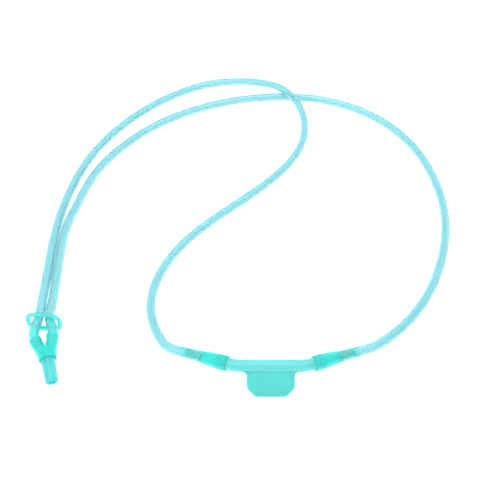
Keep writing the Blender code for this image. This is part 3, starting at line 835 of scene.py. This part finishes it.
@dataclass
class YConnector:
    """Two socket arms that run together into a round body, with a bored spigot in its collared foot."""

    spigot_length: float = 10.4 * MM
    mount_off_axis: float = 1.6 * MM
    arm_radius: float = 2.40 * MM
    rim_radius: float = 2.55 * MM
    rim_length: float = 1.6 * MM
    arm_mouth: tuple[float, float] = (3.7 * MM, 11.2 * MM)
    arm_root: float = -1.0 * MM
    arm_angles: tuple[float, float] = (math.radians(16.0), math.radians(12.0))
    arm_ease: float = 5.0 * MM
    socket_radius: float = 2.14 * MM
    socket_depth: float = 4.8 * MM
    lumen_radius: float = 1.40 * MM
    body_radius: float = 3.50 * MM
    body_length: float = 5.4 * MM
    collar_radius: float = 3.60 * MM
    collar_length: float = 1.6 * MM
    shank_radius: float = 2.50 * MM
    shank_length: float = 4.7 * MM
    spigot_radii: tuple[float, float] = (2.85 * MM, 2.45 * MM)
    fit: float = 0.03 * MM
    arm_edge_ease: float = 0.2 * MM
    rim_edge_ease: float = 0.35 * MM
    step_fillet: float = 0.15 * MM
    body_edge_ease: float = 1.0 * MM
    body_fillet: float = 1.2 * MM
    collar_edge_ease: float = 0.3 * MM
    hole_edge_ease: float = 0.1 * MM
    mouth_ease: float = 0.16 * MM
    grid_step: float = 0.14 * MM
    grid_margin: float = 0.9 * MM
    sides: int = 112
    connector_finish: MouldedVinyl = field(default_factory=lambda: MouldedVinyl(
        "moulded_vinyl_connector", "#48FFF8", "#0CFFF6"))
    spigot_finish: MouldedVinyl = field(default_factory=lambda: MouldedVinyl(
        "moulded_vinyl_spigot", "#78F4F6", "#54EEEE"))

    def __post_init__(self) -> None:
        """Works out the Y's own axes and origin from the mount on the spigot's end, and the arms' line."""
        mount = next(m for m in frame["record"]["mounts"] if m["name"] == "supply_spigot_end")
        foot_way = unit(np.array(mount["axis"]))
        across = unit(np.array([-foot_way[1], foot_way[0], 0.0]))
        self.axes = np.array([across, -foot_way, np.cross(across, -foot_way)])
        self.origin = (np.array(mount["pos_m"]) - foot_way * self.spigot_length
                       - across * self.mount_off_axis)
        root, mouth = np.array([0.0, self.arm_root, 0.0]), np.array([*self.arm_mouth, 0.0])
        self.mouth_way = heading(-self.arm_angles[1])
        control = np.array([root, root + heading(-self.arm_angles[0]) * self.arm_ease,
                            mouth - self.mouth_way * self.arm_ease, mouth])
        self.arm_control = control
        self.arm = bezier(control, np.linspace(0.0, 1.0, CURVE_STEPS))

    def to_frame(self, points: np.ndarray) -> np.ndarray:
        """Takes points from the Y's own axes to the frame."""
        return self.origin + points @ self.axes

    def inside_arm(self, side: Side, shares: np.ndarray) -> np.ndarray:
        """Points on an arm's axis in the frame, at shares of the way to its mouth."""
        return self.to_frame(bezier(self.arm_control, shares) * [side.value, 1.0, 1.0])

    def before_mouth(self, side: Side, gap: float) -> np.ndarray:
        """The point on the arm's axis that lies a gap outside its mouth, in the frame."""
        return self.to_frame((self.arm_control[-1] + self.mouth_way * gap) * [side.value, 1.0, 1.0])

    def distance(self, points: np.ndarray) -> np.ndarray:
        """Distance to the connector. Both arms are alike, so X is taken as |X|.

        Formula: an arm, its rim, the body and the collar joined with fillets and cut off at the foot, less
        the arm's bore, its socket and the spigot's hole.

        Args:
            points: Where to measure, one a row, in the connector's own axes.

        Returns:
            One distance for each point, below 0 inside.
        """
        points = np.column_stack([np.abs(points[:, 0]), points[:, 1], points[:, 2]])
        mouth = self.arm[-1]
        past_mouth = (points - mouth) @ self.mouth_way
        arm = chain(points, np.vstack([self.arm, mouth + self.mouth_way * MM]),
                    np.full(len(self.arm) + 1, self.arm_radius))
        arm = keep_within(arm, past_mouth, self.arm_edge_ease)
        rim_line = np.array([mouth - self.mouth_way * self.rim_length, mouth + self.mouth_way * MM])
        rim = chain(points, rim_line, np.full(2, self.rim_radius))
        rim = keep_within(rim, past_mouth, self.rim_edge_ease)
        rim = keep_within(rim, -past_mouth - self.rim_length, self.arm_edge_ease)
        body = drum(points, 0.0, self.body_length, self.body_radius, self.body_edge_ease)
        collar = drum(points, 0.0, self.collar_length, self.collar_radius, self.collar_edge_ease)
        solid = blend_in(blend_in(arm, rim, self.step_fillet), body, self.body_fillet)
        solid = np.maximum(blend_in(solid, collar, self.step_fillet), -points[:, 1])
        overrun = 1.5 * MM
        bore = chain(points, self.arm, np.full(len(self.arm), self.lumen_radius))
        line = np.vstack([self.arm, mouth + self.mouth_way * overrun])
        socket = chain(points, line, np.full(len(line), self.socket_radius))
        socket = keep_within(socket, -past_mouth - self.socket_depth, self.hole_edge_ease)
        hole = drum(points, -overrun, self.shank_length + self.fit, self.shank_radius + self.fit,
                    self.hole_edge_ease)
        return keep_within(solid, -np.minimum(np.minimum(bore, socket), hole), self.mouth_ease)

    def build(self) -> None:
        """Makes the connector and its spigot."""
        reach = np.array([self.arm_mouth[0] + self.rim_radius, self.arm_mouth[1], self.collar_radius])
        low = np.array([-reach[0], 0.0, -reach[2]]) - self.grid_margin
        points, faces = skin_of(self.distance, low, reach + self.grid_margin, self.grid_step)
        solid = 1.0 - smooth_share(points[:, 1], self.shank_length, self.body_length + self.rim_length)
        add_piece("y_connector_skin", self.to_frame(points), faces, self.connector_finish.material(),
                  "root", "y_connector", solid)
        root, tip = self.spigot_radii
        slight, crisp, tip_ease, bore_ease = 0.15 * MM, 0.1 * MM, 0.75 * MM, 0.3 * MM
        corners = [(-self.shank_length, self.lumen_radius, slight),
                   (-self.shank_length, self.shank_radius, slight),
                   (self.fit, self.shank_radius, 0.0), (self.fit, root, crisp),
                   (self.spigot_length, tip, tip_ease), (self.spigot_length, self.lumen_radius, bore_ease)]
        points, faces = turned(rounded(corners), self.origin, -self.axes[1], self.sides)
        add_piece("supply_spigot_skin", points, faces, self.spigot_finish.material(),
                  "root", "supply_spigot", 0.5)


@dataclass
class Slider:
    """The chin slider: an oval ring of round band that leans back on the two tubes."""

    band_radius: float = 0.95 * MM
    half_width: float = 7.0 * MM
    half_height: float = 3.7 * MM
    squareness: float = 3.2
    lean: float = math.radians(16.0)
    yaw: float = math.radians(-6.0)
    seam: float = 0.05 * MM
    seam_angle: float = 0.16
    stations: int = 260
    sides: int = 48
    finish: MouldedVinyl = field(default_factory=lambda: MouldedVinyl(
        "moulded_vinyl_slider", "#70FCF4", "#50FAEE"))

    def build(self) -> None:
        """Sweeps the band round a superellipse.

        Formula: the line's distance from the middle at angle t is (|cos t / a|^n + |sin t / b|^n)^(-1/n), a
        and b being the half width and half height and n the squareness. A low seam runs round the band's
        outer side, as the mould leaves it.
        """
        low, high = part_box("slider_ring")
        centre = np.array((low + high) / 2)
        angle = np.linspace(0.0, 2 * np.pi, self.stations, endpoint=False)
        power = self.squareness
        reach = (np.abs(np.cos(angle) / self.half_width)**power
                 + np.abs(np.sin(angle) / self.half_height)**power)**(-1 / power)
        line = np.column_stack([reach * np.cos(angle), np.zeros_like(angle), reach * np.sin(angle)])
        way = unit(np.roll(line, -1, axis=0) - np.roll(line, 1, axis=0))
        side = unit(np.cross(way, [0.0, 1.0, 0.0]))
        turn = np.linspace(0.0, 2 * np.pi, self.sides, endpoint=False)
        outer = self.seam * np.exp(-(np.minimum(turn, 2 * np.pi - turn) / self.seam_angle)**2)
        radius = (self.band_radius - self.seam + outer)[None, :, None]
        offset = (side[:, None] * np.cos(turn)[None, :, None]
                  + np.array([0.0, 1.0, 0.0]) * np.sin(turn)[None, :, None])
        points = (line[:, None] + offset * radius).reshape(-1, 3)
        rotation = np.array(Matrix.Rotation(self.yaw, 3, "Z") @ Matrix.Rotation(-self.lean, 3, "X"))
        faces = grid_faces(self.stations, self.sides)
        add_piece("slider_ring_skin", points @ rotation.T + centre, faces, self.finish.material(),
                  "slider", "slider_ring")


@dataclass
class HeadsetTube:
    """One free tube: over its cuff's nipple, round its loop, beside its twin, and into the Y's socket."""

    side: Side
    cuff: Cuff
    connector: YConnector
    route: tuple[tuple[float, float, float], ...]
    radius: float = 2.10 * MM
    bore: float = 1.40 * MM
    crossing_gap: float = 0.4 * MM
    pair_gap: float = 0.3 * MM
    ring_spread: float = 1.3 * MM
    stations_up: tuple[tuple[float, float], ...] = (
        (0.0440, 0.0), (0.0330, 0.0), (0.0220, 0.0), (0.0110, 0.22), (0.0, 1.0))
    tail: float = 9.0 * MM
    tail_radii: tuple[float, float] = (2.35 * MM, 2.20 * MM)
    tail_step: float = 0.8 * MM
    arm_shares: tuple[float, ...] = (0.9, 0.78, 0.66)
    cuff_lead: float = 6.0 * MM
    mouth_lead: float = 0.9 * MM
    end_ease: float = 0.25 * MM
    bond_reach: tuple[float, float] = (8.0 * MM, 15.0 * MM)
    length: float = 0.490
    spacing: float = 0.9 * MM
    sides: int = 40
    finish: ExtrudedVinyl = field(default_factory=ExtrudedVinyl)

    def points(self) -> np.ndarray:
        """The points that the tube's middle passes through, from its cuff to the Y's socket.

        Returns:
            The points, one a row: over the nipple, along the free route, beside the twin, and into the arm.
        """
        start, away = self.cuff.nosepiece.cuff_axis(self.side)
        face = start + away * (self.cuff.tail_start() + self.cuff.fit)
        end_of_tail = face + away * self.tail
        points = [face, (face + end_of_tail) / 2, end_of_tail, end_of_tail + away * self.cuff_lead]
        lift = 2 * self.radius + self.crossing_gap
        points += [np.array([x, y, self.radius + share * lift]) for x, y, share in self.route]
        low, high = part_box("slider_ring")
        ring = np.array((low + high) / 2)
        joint = next(j for j in frame["joints"] if j["name"] == "slider_slide")
        slide = unit(np.array(joint["axis"]))
        beside = np.array([slide[1], -slide[0], 0.0]) * self.side.value
        half_pair = self.radius + self.pair_gap / 2
        half_ring = self.radius + self.ring_spread / 2
        for station, spread in self.stations_up:
            points.append(ring + slide * station + beside * (half_pair + (half_ring - half_pair) * spread))
        points.append(self.connector.before_mouth(self.side, self.mouth_lead))
        points += list(self.connector.inside_arm(self.side, np.array(self.arm_shares)))
        return np.array(points)

    def build(self) -> None:
        """Carries a ring round the line, out along the outer skin and back along the bore.

        Formula: place + (side * cos t + up * sin t) * radius, where up stays as near vertical as the line
        allows. The outer radius falls along the stretched tail and is eased at both ends.
        """
        line = smooth_line(self.points(), self.spacing)
        line[:, 2] = np.maximum(line[:, 2], self.radius)
        gone = np.concatenate([[0.0], np.cumsum(np.linalg.norm(np.diff(line, axis=0), axis=1))])
        way = unit(np.gradient(line, axis=0))
        side = unit(np.cross(way, [0.0, 0.0, 1.0]))
        up = np.cross(side, way)

        on_tail = np.clip(gone / self.tail, 0.0, 1.0)
        past_tail = smooth_share(gone, self.tail, self.tail + self.tail_step)
        stretched = self.tail_radii[0] + (self.tail_radii[1] - self.tail_radii[0]) * on_tail
        outer = stretched + (self.radius - stretched) * past_tail
        nipple = self.cuff.nipple_radius + self.cuff.fit
        inner = nipple + (self.bore - nipple) * past_tail

        order = np.concatenate([np.arange(len(line)), np.arange(len(line))[::-1]])
        radius = np.concatenate([outer, inner[::-1]])
        ends = np.array([0, len(line) - 1])
        radius[ends] -= self.end_ease
        radius[[-1, len(line)]] += self.end_ease / 2
        turn = np.linspace(0.0, 2 * np.pi, self.sides, endpoint=False)
        offset = (side[order][:, None] * np.cos(turn)[None, :, None]
                  + up[order][:, None] * np.sin(turn)[None, :, None])
        points = line[order][:, None] + offset * radius[:, None, None]
        skin = np.stack(np.broadcast_arrays(np.cos(turn)[None, :], np.sin(turn)[None, :],
                                            gone[order][:, None] / MM), axis=-1)
        into_arm = smooth_share(gone, gone[-1] - self.bond_reach[1], gone[-1] - self.bond_reach[0])
        bonded = np.repeat(np.maximum(1.0 - past_tail, into_arm)[order], self.sides)
        name = f"{self.side.label}_tube"
        faces = grid_faces(len(order), self.sides)
        piece = add_piece(f"{name}_skin", points.reshape(-1, 3), faces, self.finish.material(),
                          "root", name, bonded)
        attribute = piece.data.attributes.new(SKIN, "FLOAT_VECTOR", "POINT")
        attribute.data.foreach_set("vector", skin.astype(np.float32).ravel())
        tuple(line[0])
        log.info("%s: %.1f mm long", name, gone[-1] / MM)


# Routes between the cuff and the paired run: X, Y, and the lift above the table as a share of the lift
# that carries one tube over the other.
LEFT_ROUTE = (
    (-0.0145, 0.0120, 0.22),
    (-0.0180, 0.0235, 0.02),
    (-0.0175, 0.0360, 0.0),
    (-0.0125, 0.0505, 0.0),
    (-0.0040, 0.0640, 0.0),
    (0.0095, 0.0785, 0.0),
    (0.0265, 0.0945, 0.0),
    (0.0430, 0.1125, 0.0),
    (0.0550, 0.1345, 0.02),
    (0.0565, 0.1595, 0.50),
    (0.0465, 0.1785, 1.0),
    (0.0280, 0.1900, 0.50),
    (0.0060, 0.1925, 0.02),
    (-0.0155, 0.1830, 0.0),
    (-0.0345, 0.1670, 0.0),
    (-0.0500, 0.1470, 0.0),
    (-0.0610, 0.1245, 0.0),
    (-0.0670, 0.1005, 0.0),
    (-0.0688, 0.0840, 0.05),
    (-0.0686, 0.0705, 0.36),
)
RIGHT_ROUTE = (
    (0.0840, 0.0085, 0.13),
    (0.0965, 0.0200, 0.0),
    (0.1075, 0.0350, 0.0),
    (0.1170, 0.0550, 0.0),
    (0.1230, 0.0785, 0.0),
    (0.1235, 0.1030, 0.0),
    (0.1185, 0.1275, 0.0),
    (0.1070, 0.1495, 0.0),
    (0.0885, 0.1665, 0.0),
    (0.0655, 0.1760, 0.0),
    (0.0405, 0.1780, 0.0),
    (0.0160, 0.1740, 0.0),
    (-0.0070, 0.1650, 0.0),
    (-0.0280, 0.1510, 0.0),
    (-0.0445, 0.1325, 0.0),
    (-0.0565, 0.1105, 0.0),
    (-0.0620, 0.0860, 0.05),
    (-0.0636, 0.0715, 0.36),
)


def main() -> None:
    """Builds the studio and each sub-assembly in order."""
    logging.basicConfig(level=logging.INFO, format="%(name)s: %(message)s")
    studio = Studio()
    studio.place_camera()
    nosepiece, connector = Nosepiece(), YConnector()
    routes = {Side.LEFT: LEFT_ROUTE, Side.RIGHT: RIGHT_ROUTE}
    for side, route in routes.items():
        cuff = Cuff(side, nosepiece)
        HeadsetTube(side, cuff, connector, route).build()
        cuff.build()
    nosepiece.build()
    connector.build()
    Slider().build()
    studio.lay_table()
    studio.light()


if __name__ == "__main__":
    main()
